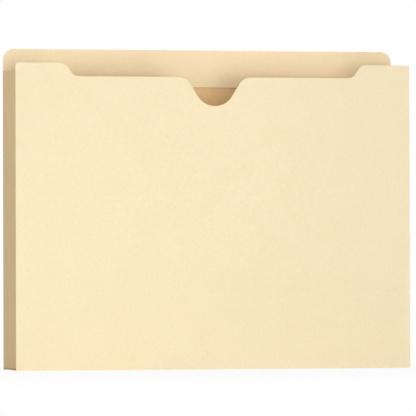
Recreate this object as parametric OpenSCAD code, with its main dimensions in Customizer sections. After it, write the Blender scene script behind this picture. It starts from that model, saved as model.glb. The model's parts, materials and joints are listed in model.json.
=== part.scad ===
// Expanding file jacket: a pocket of folded manila card, closed at the sides and the bottom by
// gussets that fold along scored lines, with a high back tab and a thumb notch in the front.
// It stands on its bottom folds. The front faces -Y, and the origin is under the middle of the pocket.

/* [Panels] */
// Width of the front and back panels
panel_w = 298.45; // [260:0.05:400]
// Height of the back panel with its tab
back_h = 238.1; // [200:0.1:390]
// Thickness of the card
card_t = 0.28; // [0.2:0.02:0.5]

/* [Tab] */
// How far the back tab stands above the wings of the front panel
tab_rise = 12.7; // [8:0.1:40]
// Radius of the tab's top corners
tab_r = 8; // [2:0.5:12]
// Height of the second ply that stiffens the tab
ply_h = 28.1; // [20:0.1:60]
// Space between the ply and the gusset pieces below its shoulders
ply_gap = 0.6; // [0.3:0.1:2]

/* [Front edge] */
// Width of the flat top of each wing
wing_w = 33.6; // [15:0.5:70]
// Radius of the small outer corner of each wing
wing_corner_r = 1; // [0.5:0.1:4]
// How far the edge between the wings lies below them
shelf_drop = 9.8; // [6:0.1:20]
// Slope of the step between wing and shelf, in degrees
step_slope = 54; // [35:1:70]
// Radius of the bends at both ends of that step
step_r = 6; // [2:0.5:10]
// Depth of the thumb notch below the shelf
notch_depth = 21.3; // [12:0.1:40]
// Radius of the bottom of the notch
notch_r = 15.4; // [8:0.1:17]
// Radius of the notch's rounded lips
lip_r = 10.5; // [4:0.1:12]
// Width of the notch between the points where its lips leave the shelf
notch_span = 55; // [53:0.1:80]

/* [Gussets] */
// Depth of the opened pocket between the end scores of a gusset
expansion = 50.8; // [25.4:0.1:101.6]
// How far the side gussets end below the wings
gusset_drop = 4.8; // [1:0.1:20]
// Space between the bottom folds and the lower ends of the side gussets
foot_gap = 0.3; // [0.2:0.05:1]
// Width of each glue flap on the side gussets
flap_w = 16; // [12:0.5:30]
// Height that each flap loses to its slanted ends
flap_taper = 6; // [2:0.5:12]

/* [Scores] */
// Radius of the bead of crushed fibre along a score
score_r = 0.3; // [0.2:0.02:0.5]
// Clearance between that bead and the card that turns about it
score_gap = 0.1; // [0.05:0.01:0.2]

/* [Glue] */
// Thickness of the dried glue
glue_t = 0.08; // [0.04:0.01:0.15]
// Width of the glue line on a flap
glue_w = 9; // [4:0.5:11]
// Distance of the glue from the edges of the piece it holds
glue_edge = 2; // [1:0.5:3]

/* [Pose] */
// Fold of each gusset half in degrees: 0 is fully open, 86 is pressed flat
fold = 0; // [0:1:86]

/* [Hidden] */
// Segments in each arc of a cut outline
arc_steps = 12;
// Facets of a score bead
bead_facets = 24;
manila = "#F4E4BE";
manila_inside = "#E9D5A9";
manila_ply = "#F0DDB4";
manila_crease = "#DCC496";
dried_glue = "#E8DFC4";

half = expansion / 2;
half_w = panel_w / 2;
stack_t = card_t + glue_t;
inner_y = half + stack_t;
front_h = back_h - tab_rise;
shelf_z = front_h - shelf_drop;
gusset_top = front_h - gusset_drop;

// Hinge lines: the side scores end flush with the panels, the bottom ones on the ground
side_x = half_w - score_r;
crease_x = side_x + card_t;
foot_z = 2 * score_r + card_t + foot_gap;
gusset_h = gusset_top - foot_z;
score_cut = score_r + score_gap;

flap_edge_x = side_x - score_cut;
flap_inner_x = flap_edge_x - flap_w;
shoulder_z = gusset_top + ply_gap;
ply_foot_z = back_h - ply_h;
ply_inner_x = flap_inner_x - ply_gap;

// The front stays parallel to the back as the gussets fold
front_travel = expansion - 2 * (half * cos(fold) + card_t * sin(fold));

// Straight stretch and run of the step from shelf to wing
step_line = (shelf_drop - 2 * step_r * (1 - cos(step_slope))) / sin(step_slope);
step_run = 2 * step_r * sin(step_slope) + step_line * cos(step_slope);

// The notch's side is the line that touches its bottom arc and its lip on opposite sides
notch_centre = [0, shelf_z - notch_depth + notch_r];
lip_centre = [notch_span / 2, shelf_z - lip_r];
lip_offset = lip_centre - notch_centre;
notch_turn = atan2(lip_offset.y, lip_offset.x) - acos((notch_r + lip_r) / norm(lip_offset));

function arc(centre, r, from, to) =
    [for (i = [0:arc_steps]) let (a = from + (to - from) * i / arc_steps) centre + r * [cos(a), sin(a)]];

function mirrored(points) = [for (i = [len(points) - 1:-1:0]) [-points[i].x, points[i].y]];

// Right half of each outline, from the middle of the top edge to the lower corner
back_edge = concat(
    arc([half_w - tab_r, back_h - tab_r], tab_r, 90, 0),
    [[half_w, 0]]
);

ply_edge = concat(
    arc([half_w - tab_r, back_h - tab_r], tab_r, 90, 0),
    [[half_w, shoulder_z], [ply_inner_x, shoulder_z], [ply_inner_x, ply_foot_z]]
);

front_edge = concat(
    arc(notch_centre, notch_r, -90, notch_turn),
    arc(lip_centre, lip_r, notch_turn + 180, 90),
    arc([half_w - wing_w - step_run, shelf_z + step_r], step_r, -90, step_slope - 90),
    arc([half_w - wing_w, front_h - step_r], step_r, 90 + step_slope, 90),
    arc([half_w - wing_corner_r, front_h - wing_corner_r], wing_corner_r, 90, 0),
    [[half_w, 0]]
);

flap_outline = [
    [flap_edge_x, foot_z],
    [flap_inner_x, foot_z + flap_taper],
    [flap_inner_x, gusset_top - flap_taper],
    [flap_edge_x, gusset_top]
];

// A sheet of the drawn outline, upright, with its rear face at y
module upright(y, thickness) {
    translate([0, y, 0])
        rotate([90, 0, 0])
            linear_extrude(thickness)
                children();
}

module whole(edge) {
    polygon(concat(edge, mirrored(edge)));
}

// Mirror image in the middle plane, for the left side
module left() {
    mirror([1, 0, 0])
        children();
}

// Mirror image of a rear piece at the front, moved with the front panel
module at_front() {
    translate([0, front_travel, 0])
        mirror([0, 1, 0])
            children();
}

// Turns a rear side half about its score, with the mid crease going into the pocket
module folded_side() {
    translate([side_x, half, 0])
        rotate([0, 0, -fold])
            translate([-side_x, -half, 0])
                children();
}

// Turns the rear bottom half about its score, with the mid crease going down
module folded_bottom() {
    translate([0, half, score_r])
        rotate([fold, 0, 0])
            translate([0, -half, -score_r])
                children();
}

module side_score(x, y) {
    color(manila_crease)
        translate([x, y, foot_z])
            cylinder(h = gusset_h, r = score_r, $fn = bead_facets);
}

module bottom_score(y, z) {
    color(manila_crease)
        translate([-half_w, y, z])
            rotate([0, 90, 0])
                cylinder(h = panel_w, r = score_r, $fn = bead_facets);
}

module side_half() {
    color(manila)
        translate([side_x, score_cut, foot_z])
            cube([card_t, half - 2 * score_cut, gusset_h]);
}

module bottom_half() {
    color(manila)
        translate([-half_w, score_cut, score_r])
            cube([panel_w, half - 2 * score_cut, card_t]);
}

module flap() {
    color(manila_inside)
        upright(half + card_t, card_t)
            polygon(flap_outline);
}

module flap_glue() {
    color(dried_glue)
        upright(inner_y, glue_t)
            translate([flap_edge_x - glue_edge - glue_w, foot_z + flap_taper + glue_edge])
                square([glue_w, gusset_h - 2 * (flap_taper + glue_edge)]);
}

// Back panel with its tab
module back_panel() {
    color(manila_inside)
        upright(inner_y + card_t, card_t)
            whole(back_edge);
}

// Second ply of the tab, with shoulders above the gusset flaps
module tab_ply() {
    color(manila_ply)
        upright(half + card_t, card_t)
            whole(ply_edge);
}

module tab_glue() {
    color(dried_glue)
        upright(inner_y, glue_t)
            translate([glue_edge - ply_inner_x, ply_foot_z + glue_edge])
                square([2 * (ply_inner_x - glue_edge), ply_h - 2 * glue_edge]);
}

// Front panel with wings, shelf and thumb notch
module front_panel() {
    color(manila)
        translate([0, front_travel, 0])
            upright(-inner_y, card_t)
                whole(front_edge);
}

// Rear scores and flaps stay with the back panel
module right_rear_flap() flap();
module right_rear_glue() flap_glue();
module right_rear_score() side_score(side_x, half);
module left_rear_flap() left() flap();
module left_rear_glue() left() flap_glue();
module left_rear_score() left() side_score(side_x, half);
module bottom_rear_score() bottom_score(half, score_r);

// Gusset halves, with each mid score on the side that the fold closes
module right_gusset_rear() folded_side() side_half();
module right_mid_score() folded_side() side_score(crease_x, 0);
module right_gusset_front() at_front() folded_side() side_half();
module left_gusset_rear() left() folded_side() side_half();
module left_mid_score() left() folded_side() side_score(crease_x, 0);
module left_gusset_front() left() at_front() folded_side() side_half();
module bottom_rear() folded_bottom() bottom_half();
module bottom_mid_score() folded_bottom() bottom_score(0, score_r + card_t);
module bottom_front() at_front() folded_bottom() bottom_half();

// Front scores and flaps move with the front panel
module right_front_flap() at_front() flap();
module right_front_glue() at_front() flap_glue();
module right_front_score() at_front() side_score(side_x, half);
module left_front_flap() left() at_front() flap();
module left_front_glue() left() at_front() flap_glue();
module left_front_score() left() at_front() side_score(side_x, half);
module bottom_front_score() at_front() bottom_score(half, score_r);

back_panel();
tab_ply();
tab_glue();
left_rear_flap();
left_rear_glue();
left_rear_score();
right_rear_flap();
right_rear_glue();
right_rear_score();
bottom_rear_score();
left_gusset_rear();
left_mid_score();
left_gusset_front();
right_gusset_rear();
right_mid_score();
right_gusset_front();
bottom_rear();
bottom_mid_score();
bottom_front();
front_panel();
left_front_flap();
left_front_glue();
left_front_score();
right_front_flap();
right_front_glue();
right_front_score();
bottom_front_score();
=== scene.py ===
import json
import math

import bmesh
import bpy
from mathutils import Matrix, Vector


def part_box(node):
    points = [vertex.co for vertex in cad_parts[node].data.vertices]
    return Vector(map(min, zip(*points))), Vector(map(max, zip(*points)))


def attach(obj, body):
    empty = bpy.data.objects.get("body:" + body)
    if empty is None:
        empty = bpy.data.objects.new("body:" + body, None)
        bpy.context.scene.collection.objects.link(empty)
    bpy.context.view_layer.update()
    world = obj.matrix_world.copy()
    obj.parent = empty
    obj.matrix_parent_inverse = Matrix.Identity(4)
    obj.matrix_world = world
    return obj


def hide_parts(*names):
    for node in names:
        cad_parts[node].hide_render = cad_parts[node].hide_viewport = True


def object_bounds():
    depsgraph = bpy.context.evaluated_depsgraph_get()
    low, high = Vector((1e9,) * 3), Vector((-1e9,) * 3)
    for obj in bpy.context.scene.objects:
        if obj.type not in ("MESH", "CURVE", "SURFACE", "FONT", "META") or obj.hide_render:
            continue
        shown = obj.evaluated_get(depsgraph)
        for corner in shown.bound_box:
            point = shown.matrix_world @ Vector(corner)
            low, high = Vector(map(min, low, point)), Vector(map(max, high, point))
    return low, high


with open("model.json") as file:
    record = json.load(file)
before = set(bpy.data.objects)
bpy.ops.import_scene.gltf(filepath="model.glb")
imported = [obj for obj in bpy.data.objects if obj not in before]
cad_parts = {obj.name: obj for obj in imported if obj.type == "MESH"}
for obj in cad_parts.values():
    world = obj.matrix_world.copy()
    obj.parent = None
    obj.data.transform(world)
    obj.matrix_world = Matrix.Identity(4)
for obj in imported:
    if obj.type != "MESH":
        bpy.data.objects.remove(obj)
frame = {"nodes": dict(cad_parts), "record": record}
cadLow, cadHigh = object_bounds()
nodes = frame["nodes"]
bodyOf = {node: body for body, names in frame["record"]["behaviour"]["bodies"].items() for node in names}
mm = 0.001


def hexToLinear(code):
    channels = [int(code[i:i + 2], 16) / 255 for i in (1, 3, 5)]
    return [c / 12.92 if c <= 0.04045 else ((c + 0.055) / 1.055) ** 2.4 for c in channels] + [1.0]


def addNode(tree, kind, settings=None, links=None):
    made = tree.nodes.new(kind)
    for key, value in (settings or {}).items():
        if isinstance(key, str) and hasattr(made, key):
            setattr(made, key, value)
        else:
            made.inputs[key].default_value = value
    for key, source in (links or {}).items():
        tree.links.new(source, made.inputs[key])
    return made


def newMaterial(name):
    material = bpy.data.materials.new(name)
    material.use_nodes = True
    return material, material.node_tree, material.node_tree.nodes["Principled BSDF"]


def newObject(name, data):
    made = bpy.data.objects.new(name, data)
    bpy.context.scene.collection.objects.link(made)
    return made


# Materials

cardLook = {
    "cloudSize": 24 * mm,       # soft clouds where the pulp lay thicker
    "flockSize": 2.4 * mm,      # clots of fibre
    "fibreLength": 3.2 * mm,
    "fibreWidth": 0.5 * mm,     # real fibres are finer, drawn this coarse so that they show
    "fibreTurns": (-38, 27),    # two layers of fibres, in degrees from the width of the sheet
    "cloudShare": 0.2,          # how much each pattern moves the colour between shade and tone
    "flockShare": 0.4,
    "fibreShare": 0.45,
    "noiseMiddle": 0.5,
    "fibreMiddle": 0.57,        # higher, since only the stronger of the two layers shows
    "noiseReach": 0.2,          # a noise this far from its middle adds or takes half its share
    "reliefHeight": 0.04 * mm,
    "glossSpread": 0.14,        # from the smoothest clots of fibre to the roughest
    "ior": 1.47,                # cellulose
}
stocks = {                      # each side or cut: name, tone, shade, least roughness and relief
    "face": ("calenderedManila", "#F3E5C2", "#EBDAB3", 0.72, 0.3),          # rolled smooth
    "ply": ("calenderedManilaPlyLightened", "#FEECC7", "#F7E3B7", 0.72, 0.3),        # the same stock, painted a little paler for light the front panel keeps off the tab
    "gusset": ("shadedManilaGusset", "#E6CB9B", "#DCBF8A", 0.74, 0.35),       # rolled less, so that it folds; its darker tone is painted shade of the side walls
    "inside": ("warmShadedManilaInside", "#F7D8A6", "#EEC994", 0.8, 0.45),  # the rougher side; its warmer, deeper tone is painted warm shade of the pocket
    "edge": ("guillotinedManilaEdge", "#F8EACB", "#EEDCB6", 0.84, 0.6),     # clean cut pulp, open fibres
    "crease": ("shadedManilaScore", "#B5996A", "#A58A59", 0.62, 0.2),      # crushed fibre, and painted shade that darkens the fold
    "plyFoot": ("plyEdgeShadowLine", "#D3B786", "#C4A672", 0.62, 0.2),   # painted shadow: a dark line along the ply's lower edge
}
glueLook = {"streakSize": 6 * mm, "tone": "#E6D9B4", "shade": "#CDB98A", "roughness": 0.4}


def manilaStock(name, tone, shade, leastRoughness, relief):
    # Manila board: a matt buff sheet, faintly clouded, with clots and short crossing fibres
    material, tree, shader = newMaterial(name)
    place = addNode(tree, "ShaderNodeTexCoord").outputs["Object"]
    clouds = addNode(tree, "ShaderNodeTexNoise",
                     {"Scale": 1 / cardLook["cloudSize"], "Detail": 2.0, "Roughness": 0.5},
                     {"Vector": place})
    flocks = addNode(tree, "ShaderNodeTexNoise",
                     {"Scale": 1 / cardLook["flockSize"], "Detail": 3.0, "Roughness": 0.6},
                     {"Vector": place})
    layers = []
    for turn in cardLook["fibreTurns"]:
        laid = addNode(tree, "ShaderNodeMapping",
                       {"vector_type": "TEXTURE", "Rotation": (0, math.radians(turn), 0),
                        "Scale": (cardLook["fibreLength"], cardLook["fibreWidth"], cardLook["fibreWidth"])},
                       {"Vector": place})
        layers.append(addNode(tree, "ShaderNodeTexNoise", {"Scale": 1.0, "Detail": 1.0},
                              {"Vector": laid.outputs[0]}).outputs["Fac"])
    fibres = addNode(tree, "ShaderNodeMath", {"operation": "MAXIMUM"}, {0: layers[0], 1: layers[1]})
    share = None
    reach = cardLook["noiseReach"]
    for source, weight, middle in (
            (clouds.outputs["Fac"], cardLook["cloudShare"], cardLook["noiseMiddle"]),
            (flocks.outputs["Fac"], cardLook["flockShare"], cardLook["noiseMiddle"]),
            (fibres.outputs[0], cardLook["fibreShare"], cardLook["fibreMiddle"])):
        spread = addNode(tree, "ShaderNodeMapRange",
                         {"clamp": False, "From Min": middle - reach, "From Max": middle + reach,
                          "To Min": -weight / 2, "To Max": weight / 2}, {"Value": source})
        # The first pattern starts half way between shade and tone, each other one adds to the last
        total = addNode(tree, "ShaderNodeMath", {"operation": "ADD", 1: 0.5}, {0: spread.outputs["Result"]})
        if share:
            tree.links.new(share, total.inputs[1])
        share = total.outputs[0]
    colour = addNode(tree, "ShaderNodeMix",
                     {"data_type": "RGBA", 6: hexToLinear(shade), 7: hexToLinear(tone)}, {0: share})
    bumps = addNode(tree, "ShaderNodeBump", {"Strength": relief, "Distance": cardLook["reliefHeight"]},
                    {"Height": share})
    gloss = addNode(tree, "ShaderNodeMapRange",
                    {"To Min": leastRoughness, "To Max": leastRoughness + cardLook["glossSpread"]},
                    {"Value": flocks.outputs["Fac"]})
    tree.links.new(colour.outputs[2], shader.inputs["Base Color"])
    tree.links.new(bumps.outputs["Normal"], shader.inputs["Normal"])
    tree.links.new(gloss.outputs["Result"], shader.inputs["Roughness"])
    shader.inputs["IOR"].default_value = cardLook["ior"]
    return material


def driedGlue():
    # Dried starch glue: a thin amber film, streaked by the roller, with a low gloss
    material, tree, shader = newMaterial("driedStarchGlue")
    place = addNode(tree, "ShaderNodeTexCoord").outputs["Object"]
    streaks = addNode(tree, "ShaderNodeTexNoise", {"Scale": 1 / glueLook["streakSize"], "Detail": 2.0},
                      {"Vector": place})
    colour = addNode(tree, "ShaderNodeMix",
                     {"data_type": "RGBA", 6: hexToLinear(glueLook["shade"]),
                      7: hexToLinear(glueLook["tone"])}, {0: streaks.outputs["Fac"]})
    tree.links.new(colour.outputs[2], shader.inputs["Base Color"])
    shader.inputs["Roughness"].default_value = glueLook["roughness"]
    return material


manila = {use: manilaStock(*stock) for use, stock in stocks.items()}
glueFilm = driedGlue()
print("materials: %d kinds of manila and the glue" % len(manila))


# Card sheets

cardKinds = {
    "panel": {"outer": "face", "bow": 1.2 * mm, "ripple": 0.8 * mm, "cell": 5 * mm},
    # the ply's foot line: the height of its lowest strip, painted dark as a shadow
    "ply": {"outer": "ply", "bow": 0.0, "ripple": 0.0, "cell": 6 * mm, "footShadowLine": 0.35 * mm},
    "gusset": {"outer": "gusset", "bow": 0.3 * mm, "ripple": 0.25 * mm, "cell": 3 * mm},
    "bottom": {"outer": "gusset", "bow": 0.0, "ripple": 0.2 * mm, "cell": 4 * mm},
    "flap": {"outer": "inside", "bow": 0.0, "ripple": 0.0, "cell": 8 * mm},
}
rippleSize = 120 * mm           # about the width of one wave
cards = {                       # kind of card and the way that its outer face looks
    "front_panel": ("panel", (0, -1, 0)),
    "back_panel": ("panel", (0, 1, 0)),
    "tab_ply": ("ply", (0, -1, 0)),
    "left_gusset_rear": ("gusset", (-1, 0, 0)),
    "left_gusset_front": ("gusset", (-1, 0, 0)),
    "right_gusset_rear": ("gusset", (1, 0, 0)),
    "right_gusset_front": ("gusset", (1, 0, 0)),
    "bottom_rear": ("bottom", (0, 0, -1)),
    "bottom_front": ("bottom", (0, 0, -1)),
    "left_rear_flap": ("flap", (0, -1, 0)),
    "right_rear_flap": ("flap", (0, -1, 0)),
    "left_front_flap": ("flap", (0, 1, 0)),
    "right_front_flap": ("flap", (0, 1, 0)),
}
panelHold = {                   # what keeps the large panels flat near their edges
    "sides": 20 * mm,           # width that the glued flaps hold
    "sideEase": 70 * mm,        # distance over which the card then comes free
    "footEase": 110 * mm,       # the same above the bottom score
    "plyEase": 30 * mm,         # and below the ply
}
flatLimit = 0.7                 # a face that looks this much outwards or inwards is no cut edge
tolerance = {                   # distances and an angle that count as none when a sheet is cut
    "corners": 0.005 * mm,
    "sheetSides": 0.01 * mm,
    "cut": 0.002 * mm,
    "flatAngle": 0.1,           # in degrees
}


def nodeGroup(name, inputs, output):
    # An empty tree with its named inputs and one geometry that comes out
    tree = bpy.data.node_groups.new(name, "GeometryNodeTree")
    for title, kind in inputs.items():
        tree.interface.new_socket(title, in_out="INPUT", socket_type="NodeSocket" + kind)
    tree.interface.new_socket(output, in_out="OUTPUT", socket_type="NodeSocketGeometry")
    return tree


def cardTree():
    # Bows a flat face, gives it the thickness of the card and dresses front, back and cut edge
    tree = nodeGroup("cardSheet", {"Sheet": "Geometry", "Thickness": "Float", "Bow": "Float",
                                   "Ripple": "Float", "Ripple size": "Float", "Seed": "Float",
                                   "Outward": "Vector", "Outer face": "Material",
                                   "Inner face": "Material", "Cut edge": "Material"}, "Card")
    given = addNode(tree, "NodeGroupInput").outputs
    slack = addNode(tree, "GeometryNodeInputNamedAttribute", {"data_type": "FLOAT", "Name": "slack"})
    scale = addNode(tree, "ShaderNodeMath", {"operation": "DIVIDE", 0: 1.0}, {1: given["Ripple size"]})
    waves = addNode(tree, "ShaderNodeTexNoise", {"noise_dimensions": "4D", "Detail": 1.0},
                    {"Scale": scale.outputs[0], "W": given["Seed"]})
    level = addNode(tree, "ShaderNodeMath", {"operation": "SUBTRACT", 1: 0.5}, {0: waves.outputs["Fac"]})
    ripple = addNode(tree, "ShaderNodeMath", {"operation": "MULTIPLY"},
                     {0: level.outputs[0], 1: given["Ripple"]})
    rise = addNode(tree, "ShaderNodeMath", {"operation": "ADD"}, {0: ripple.outputs[0], 1: given["Bow"]})
    lift = addNode(tree, "ShaderNodeMath", {"operation": "MULTIPLY"},
                   {0: rise.outputs[0], 1: slack.outputs["Attribute"]})
    offset = addNode(tree, "ShaderNodeVectorMath", {"operation": "SCALE"},
                     {0: given["Outward"], "Scale": lift.outputs[0]})
    pulp = addNode(tree, "GeometryNodeSetMaterial",
                   links={"Geometry": given["Sheet"], "Material": given["Cut edge"]})
    bowed = addNode(tree, "GeometryNodeSetPosition",
                    links={"Geometry": pulp.outputs[0], "Offset": offset.outputs[0]})
    depth = addNode(tree, "ShaderNodeMath", {"operation": "MULTIPLY", 1: -1.0}, {0: given["Thickness"]})
    through = addNode(tree, "ShaderNodeVectorMath", {"operation": "SCALE"},
                      {0: given["Outward"], "Scale": depth.outputs[0]})
    turned = addNode(tree, "GeometryNodeFlipFaces", links={"Mesh": bowed.outputs[0]})
    pulled = addNode(tree, "GeometryNodeExtrudeMesh",
                     {"mode": "FACES", "Individual": False, "Offset Scale": 1.0},
                     {"Mesh": turned.outputs[0], "Offset": through.outputs[0]})
    joined = addNode(tree, "GeometryNodeJoinGeometry")
    tree.links.new(pulled.outputs["Mesh"], joined.inputs[0])
    tree.links.new(bowed.outputs[0], joined.inputs[0])
    merged = addNode(tree, "GeometryNodeMergeByDistance", {"Distance": tolerance["sheetSides"]},
                     {"Geometry": joined.outputs[0]})
    normal = addNode(tree, "GeometryNodeInputNormal").outputs["True Normal"]
    facing = addNode(tree, "ShaderNodeVectorMath", {"operation": "DOT_PRODUCT"},
                     {0: normal, 1: given["Outward"]})
    outside = addNode(tree, "FunctionNodeCompare", {"operation": "GREATER_THAN", "B": flatLimit},
                      {"A": facing.outputs["Value"]})
    inside = addNode(tree, "FunctionNodeCompare", {"operation": "LESS_THAN", "B": -flatLimit},
                     {"A": facing.outputs["Value"]})
    whole = addNode(tree, "GeometryNodeRealizeInstances", links={"Geometry": merged.outputs[0]})
    lined = addNode(tree, "GeometryNodeSetMaterial",
                    links={"Geometry": whole.outputs[0], "Selection": inside.outputs[0],
                           "Material": given["Inner face"]})
    dressed = addNode(tree, "GeometryNodeSetMaterial",
                      links={"Geometry": lined.outputs[0], "Selection": outside.outputs[0],
                             "Material": given["Outer face"]})
    addNode(tree, "NodeGroupOutput", links={"Card": dressed.outputs[0]})
    return tree


def setInputs(modifier, values):
    for item in modifier.node_group.interface.items_tree:
        if item.in_out == "INPUT" and item.name in values:
            modifier[item.identifier] = values[item.name]


def bakeNodes(piece):
    # Leaves the tree's result as a plain mesh
    graph = bpy.context.evaluated_depsgraph_get()
    plain = bpy.data.meshes.new_from_object(piece.evaluated_get(graph), depsgraph=graph)
    piece.modifiers.clear()
    piece.data = plain


def outerFace(node, outward, cell, footShadowLine):
    # The node's outward face as a grid of small cells inside its own outline
    shape = bmesh.new()
    shape.from_mesh(nodes[node].data)
    bmesh.ops.remove_doubles(shape, verts=shape.verts, dist=tolerance["corners"])
    shape.normal_update()
    spare = [f for f in shape.faces if f.normal.dot(outward) < flatLimit]
    bmesh.ops.delete(shape, geom=spare, context="FACES")
    bmesh.ops.dissolve_limit(shape, angle_limit=math.radians(tolerance["flatAngle"]),
                             verts=shape.verts, edges=shape.edges)
    low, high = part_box(node)
    # an extra cut bounds the ply's lowest strip, which is painted as shadow
    cuts = [(2, low.z + footShadowLine)] if footShadowLine else []
    for axis in range(3):
        if outward[axis] == 0:
            steps = max(1, round((high[axis] - low[axis]) / cell))
            cuts += [(axis, low[axis] + (high[axis] - low[axis]) * i / steps) for i in range(1, steps)]
    for axis, level in cuts:
        across = Vector([1.0 if i == axis else 0.0 for i in range(3)])
        everything = list(shape.verts) + list(shape.edges) + list(shape.faces)
        bmesh.ops.bisect_plane(shape, geom=everything, plane_co=across * level, plane_no=across,
                               dist=tolerance["cut"])
    return shape


def smooth(value):
    t = min(1.0, max(0.0, value))
    return t * t * (3 - 2 * t)


def panelSlack(co, heldTop):
    # Held along the glued sides, the bottom score and the ply, slack towards the middle
    sides = smooth((cadHigh.x - panelHold["sides"] - abs(co.x)) / panelHold["sideEase"])
    foot = smooth(co.z / panelHold["footEase"])
    top = smooth((heldTop - co.z) / panelHold["plyEase"])
    return sides * foot * top


def stripSlack(co, low, high):
    # Half a gusset or half the bottom is held by the score on each side
    return math.sin(math.pi * (co.y - low.y) / (high.y - low.y)) ** 2


cardSheet = cardTree()
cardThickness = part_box("back_panel")[1].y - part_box("back_panel")[0].y
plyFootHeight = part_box("tab_ply")[0].z
farAbove = 2 * cadHigh.z        # nothing holds the front's top edge

for seed, (node, (kind, out)) in enumerate(cards.items()):
    look = cardKinds[kind]
    outward = Vector(out)
    footShadowLine = look.get("footShadowLine", 0.0)
    low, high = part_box(node)
    shape = outerFace(node, outward, look["cell"], footShadowLine)
    mesh = bpy.data.meshes.new(node + "Face")
    shape.to_mesh(mesh)
    shape.free()
    if kind == "panel":
        heldTop = plyFootHeight if node == "back_panel" else farAbove
        slackness = [panelSlack(v.co, heldTop) for v in mesh.vertices]
    elif kind in ("gusset", "bottom"):
        slackness = [stripSlack(v.co, low, high) for v in mesh.vertices]
    else:
        slackness = [0.0] * len(mesh.vertices)
    mesh.attributes.new("slack", "FLOAT", "POINT").data.foreach_set("value", slackness)
    sheet = newObject(node.replace("_", "-") + "-card", mesh)
    modifier = sheet.modifiers.new("card", "NODES")
    modifier.node_group = cardSheet
    setInputs(modifier, {"Thickness": cardThickness, "Bow": look["bow"], "Ripple": look["ripple"],
                         "Ripple size": rippleSize, "Seed": float(seed), "Outward": outward,
                         "Outer face": manila[look["outer"]], "Inner face": manila["inside"],
                         "Cut edge": manila["edge"]})
    bakeNodes(sheet)
    for polygon in sheet.data.polygons:
        polygon.use_smooth = abs(polygon.normal.dot(outward)) > flatLimit
    if footShadowLine:
        sheet.data.materials.append(manila["plyFoot"])      # painted shadow: the ply's lowest strip is dark, as the shade under its lower edge
        for polygon in sheet.data.polygons:
            if polygon.center.z < low.z + footShadowLine:
                polygon.material_index = len(sheet.data.materials) - 1
    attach(sheet, bodyOf[node])
    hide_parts(node)
print("cards: %d sheets" % len(cards))


# Scores

scoreLook = {
    "radius": 0.4 * mm,         # reaches the card on both sides, so that no light shows through a fold
    "unevenness": 0.06,         # share of the radius that the crushed spots lose
    "crushSize": 4 * mm,
    "pointSpacing": 2 * mm,
    "sides": 8,
    # the rear score's bead takes the dark stock, painted as shade along that fold
    "stocks": {"rear": "crease", "mid": "gusset", "front": "face"},
}


def scoreTree():
    # A bead of crushed fibre along a straight score, a little uneven in width
    tree = nodeGroup("pressedScore", {"Start": "Vector", "End": "Vector", "Radius": "Float",
                                      "Unevenness": "Float", "Crush size": "Float", "Points": "Int",
                                      "Sides": "Int", "Fibre": "Material"}, "Score")
    given = addNode(tree, "NodeGroupInput").outputs
    line = addNode(tree, "GeometryNodeCurvePrimitiveLine",
                   links={"Start": given["Start"], "End": given["End"]})
    points = addNode(tree, "GeometryNodeResampleCurve",
                     links={"Curve": line.outputs[0], "Count": given["Points"]})
    scale = addNode(tree, "ShaderNodeMath", {"operation": "DIVIDE", 0: 1.0}, {1: given["Crush size"]})
    crush = addNode(tree, "ShaderNodeTexNoise", {"Detail": 1.0}, {"Scale": scale.outputs[0]})
    loss = addNode(tree, "ShaderNodeMath", {"operation": "MULTIPLY"},
                   {0: crush.outputs["Fac"], 1: given["Unevenness"]})
    share = addNode(tree, "ShaderNodeMath", {"operation": "SUBTRACT", 0: 1.0}, {1: loss.outputs[0]})
    ring = addNode(tree, "GeometryNodeCurvePrimitiveCircle",
                   links={"Resolution": given["Sides"], "Radius": given["Radius"]})
    bead = addNode(tree, "GeometryNodeCurveToMesh", {"Fill Caps": True},
                   {"Curve": points.outputs[0], "Profile Curve": ring.outputs[0],
                    "Scale": share.outputs[0]})
    whole = addNode(tree, "GeometryNodeRealizeInstances", links={"Geometry": bead.outputs[0]})
    dressed = addNode(tree, "GeometryNodeSetMaterial",
                      links={"Geometry": whole.outputs[0], "Material": given["Fibre"]})
    addNode(tree, "NodeGroupOutput", links={"Score": dressed.outputs[0]})
    return tree


pressedScore = scoreTree()
scores = [node for node in nodes if node.endswith("_score")]
for node in scores:
    low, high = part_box(node)
    middle = (low + high) / 2
    middle.z = max(middle.z, cadLow.z + scoreLook["radius"])    # the bottom scores rest on the ground
    span = high - low
    along = max(range(3), key=lambda i: span[i])
    start, end = middle.copy(), middle.copy()
    start[along], end[along] = low[along], high[along]
    bead = newObject(node.replace("_", "-") + "-bead", bpy.data.meshes.new(node + "Bead"))
    modifier = bead.modifiers.new("score", "NODES")
    modifier.node_group = pressedScore
    place = node.split("_")[1]  # rear, mid or front
    setInputs(modifier, {"Start": start, "End": end, "Radius": scoreLook["radius"],
                         "Unevenness": scoreLook["unevenness"], "Crush size": scoreLook["crushSize"],
                         "Points": round(span[along] / scoreLook["pointSpacing"]),
                         "Sides": scoreLook["sides"], "Fibre": manila[scoreLook["stocks"][place]]})
    bakeNodes(bead)
    for polygon in bead.data.polygons:
        polygon.use_smooth = True
    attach(bead, bodyOf[node])
    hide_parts(node)
print("scores: %d beads" % len(scores))


# Glue

films = [node for node in nodes if node.endswith("_glue")]
for node in films:
    nodes[node].material_slots[0].material = glueFilm
print("glue: %d films" % len(films))


# Studio

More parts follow.
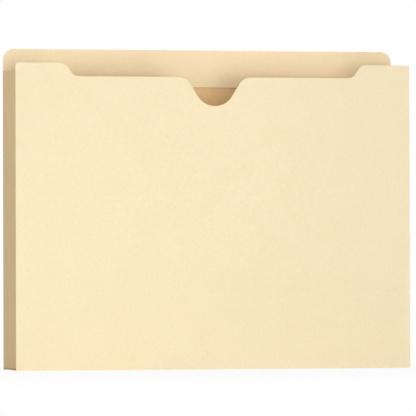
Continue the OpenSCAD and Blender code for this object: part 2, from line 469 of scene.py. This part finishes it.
studio = {                      # lengths in metres
    "worldLight": 0.3,
    "white": 1.0,
    "floorSize": 12.0,
    "floorTone": "#D8D8D8",
    "floorRoughness": 0.9,
    "floorKeep": 0.09,          # share of real shading that the white floor keeps near the jacket
    "floorFade": (0.15, 0.6),   # distances between which even that share fades out
    "aim": (0.0, 0.0, 0.17),    # where every lamp points
    "lampLevel": 0.215,         # height from which a lamp's lift is counted
    "lamps": {                  # turn and lift in degrees from straight ahead of the front, power in watts
        "lowBox": {"turn": 4.5, "lift": -12.5, "distance": 0.6, "size": (0.12, 0.18), "power": 0.46},
        "lowLeftBox": {"turn": -34, "lift": -27, "distance": 0.4, "size": (0.12, 0.06), "power": 0.055},
        "aheadBox": {"turn": 5, "lift": -7, "distance": 1.6, "size": (0.45, 0.45), "power": 4.6},
        "leftBox": {"turn": -8, "lift": 2, "distance": 1.6, "size": (0.45, 0.45), "power": 5.5},
        "farLeftBox": {"turn": -45, "lift": 2, "distance": 0.7, "size": (0.3, 0.2), "power": 0.34},
        "sideBox": {"turn": -60, "lift": -7, "distance": 1.6, "size": (0.45, 0.45), "power": 5.9},
        "gussetBox": {"turn": -98, "lift": 22, "distance": 0.4, "size": (0.1, 0.1), "power": 0.125},
        "topBox": {"turn": 60, "lift": 65, "distance": 0.7, "size": (0.3, 0.3), "power": 1.75},
        "backBox": {"turn": 168, "lift": 30, "distance": 1.0, "size": (0.5, 0.5), "power": 7.0},
    },
}
white = hexToLinear("#FFFFFF")


def whiteForCamera(tree):
    # White to the camera, to gloss and through glass, plain light to everything else
    path = addNode(tree, "ShaderNodeLightPath").outputs
    direct = addNode(tree, "ShaderNodeMath", {"operation": "MAXIMUM"},
                     {0: path["Is Camera Ray"], 1: path["Is Glossy Ray"]})
    seen = addNode(tree, "ShaderNodeMath", {"operation": "MAXIMUM"},
                   {0: direct.outputs[0], 1: path["Is Transmission Ray"]})
    return seen.outputs[0]


def studioPaper():
    # White background paper: matt, and so bright that only a faint shadow shows beside the jacket
    material, tree, paper = newMaterial("whiteStudioPaper")
    paper.inputs["Base Color"].default_value = hexToLinear(studio["floorTone"])
    paper.inputs["Roughness"].default_value = studio["floorRoughness"]
    glow = addNode(tree, "ShaderNodeEmission", {"Color": white, "Strength": studio["white"]})
    spot = addNode(tree, "ShaderNodeTexCoord").outputs["Object"]
    away = addNode(tree, "ShaderNodeVectorMath", {"operation": "LENGTH"}, {0: spot})
    plain = addNode(tree, "ShaderNodeMapRange",
                    {"From Min": studio["floorFade"][0], "From Max": studio["floorFade"][1],
                     "To Min": 1 - studio["floorKeep"], "To Max": 1.0}, {"Value": away.outputs["Value"]})
    glowShare = addNode(tree, "ShaderNodeMath", {"operation": "MULTIPLY"},
                        {0: whiteForCamera(tree), 1: plain.outputs["Result"]})
    mixed = addNode(tree, "ShaderNodeMixShader",
                    links={0: glowShare.outputs[0], 1: paper.outputs[0], 2: glow.outputs[0]})
    tree.links.new(mixed.outputs[0], tree.nodes["Material Output"].inputs["Surface"])
    return material


world = bpy.data.worlds.new("studioWorld")
bpy.context.scene.world = world
world.use_nodes = True
worldTree = world.node_tree
ambient = worldTree.nodes["Background"]
ambient.inputs["Color"].default_value = white
ambient.inputs["Strength"].default_value = studio["worldLight"]
backdrop = addNode(worldTree, "ShaderNodeBackground", {"Color": white, "Strength": studio["white"]})
worldMix = addNode(worldTree, "ShaderNodeMixShader",
                   links={0: whiteForCamera(worldTree), 1: ambient.outputs[0], 2: backdrop.outputs[0]})
worldTree.links.new(worldMix.outputs[0], worldTree.nodes["World Output"].inputs["Surface"])

floorMesh = bpy.data.meshes.new("floor")
half = studio["floorSize"] / 2
floorMesh.from_pydata([(-half, -half, 0), (half, -half, 0), (half, half, 0), (-half, half, 0)],
                      [], [(0, 1, 2, 3)])
floorMesh.materials.append(studioPaper())
newObject("floor", floorMesh)

for name, box in studio["lamps"].items():
    turn, lift = math.radians(box["turn"]), math.radians(box["lift"])
    lamp = bpy.data.lights.new(name, "AREA")
    lamp.shape = "RECTANGLE"
    lamp.size, lamp.size_y = box["size"]
    lamp.energy = box["power"]
    stand = newObject(name, lamp)
    level = box["distance"] * math.cos(lift)
    stand.location = (level * math.sin(turn), -level * math.cos(turn),
                      studio["lampLevel"] + box["distance"] * math.sin(lift))
    stand.rotation_mode = "QUATERNION"
    stand.rotation_quaternion = (Vector(studio["aim"]) - stand.location).to_track_quat("-Z", "Y")
    stand.visible_camera = False
print("studio: world, floor and %d lamps" % len(studio["lamps"]))


# Camera

view = {                        # angles in degrees, lengths in metres
    "yaw": 13.0,                # how far the camera stands to the left of straight ahead
    "pitch": 0.93,
    "roll": -0.19,
    "distance": 3.2,
    "target": (0.0008, 0.0, 0.1195),    # the point in the middle of the picture
    "focalPixels": 4300,        # the lens, in pixels of the picture
    "framePixels": 416,
    "sensorWidth": 36,          # in millimetres
    "clipEnd": 50,
}
yaw, pitch, roll = (math.radians(view[key]) for key in ("yaw", "pitch", "roll"))
ahead = Vector((math.sin(yaw) * math.cos(pitch), math.cos(yaw) * math.cos(pitch), math.sin(pitch)))
levelRight = Vector((math.cos(yaw), -math.sin(yaw), 0))
levelUp = levelRight.cross(ahead)
right = math.cos(roll) * levelRight + math.sin(roll) * levelUp
up = math.cos(roll) * levelUp - math.sin(roll) * levelRight
cameraData = bpy.data.cameras.new("camera")
cameraData.sensor_width = view["sensorWidth"]
cameraData.lens = view["focalPixels"] / view["framePixels"] * view["sensorWidth"]
cameraData.clip_end = view["clipEnd"]
camera = newObject("camera", cameraData)
turned = Matrix((right, up, -ahead)).transposed().to_4x4()
camera.matrix_world = Matrix.Translation(Vector(view["target"]) - view["distance"] * ahead) @ turned
bpy.context.scene.camera = camera
bpy.context.scene.view_settings.view_transform = "Standard"
print("camera: %.0f mm lens, %.1f m away" % (cameraData.lens, view["distance"]))
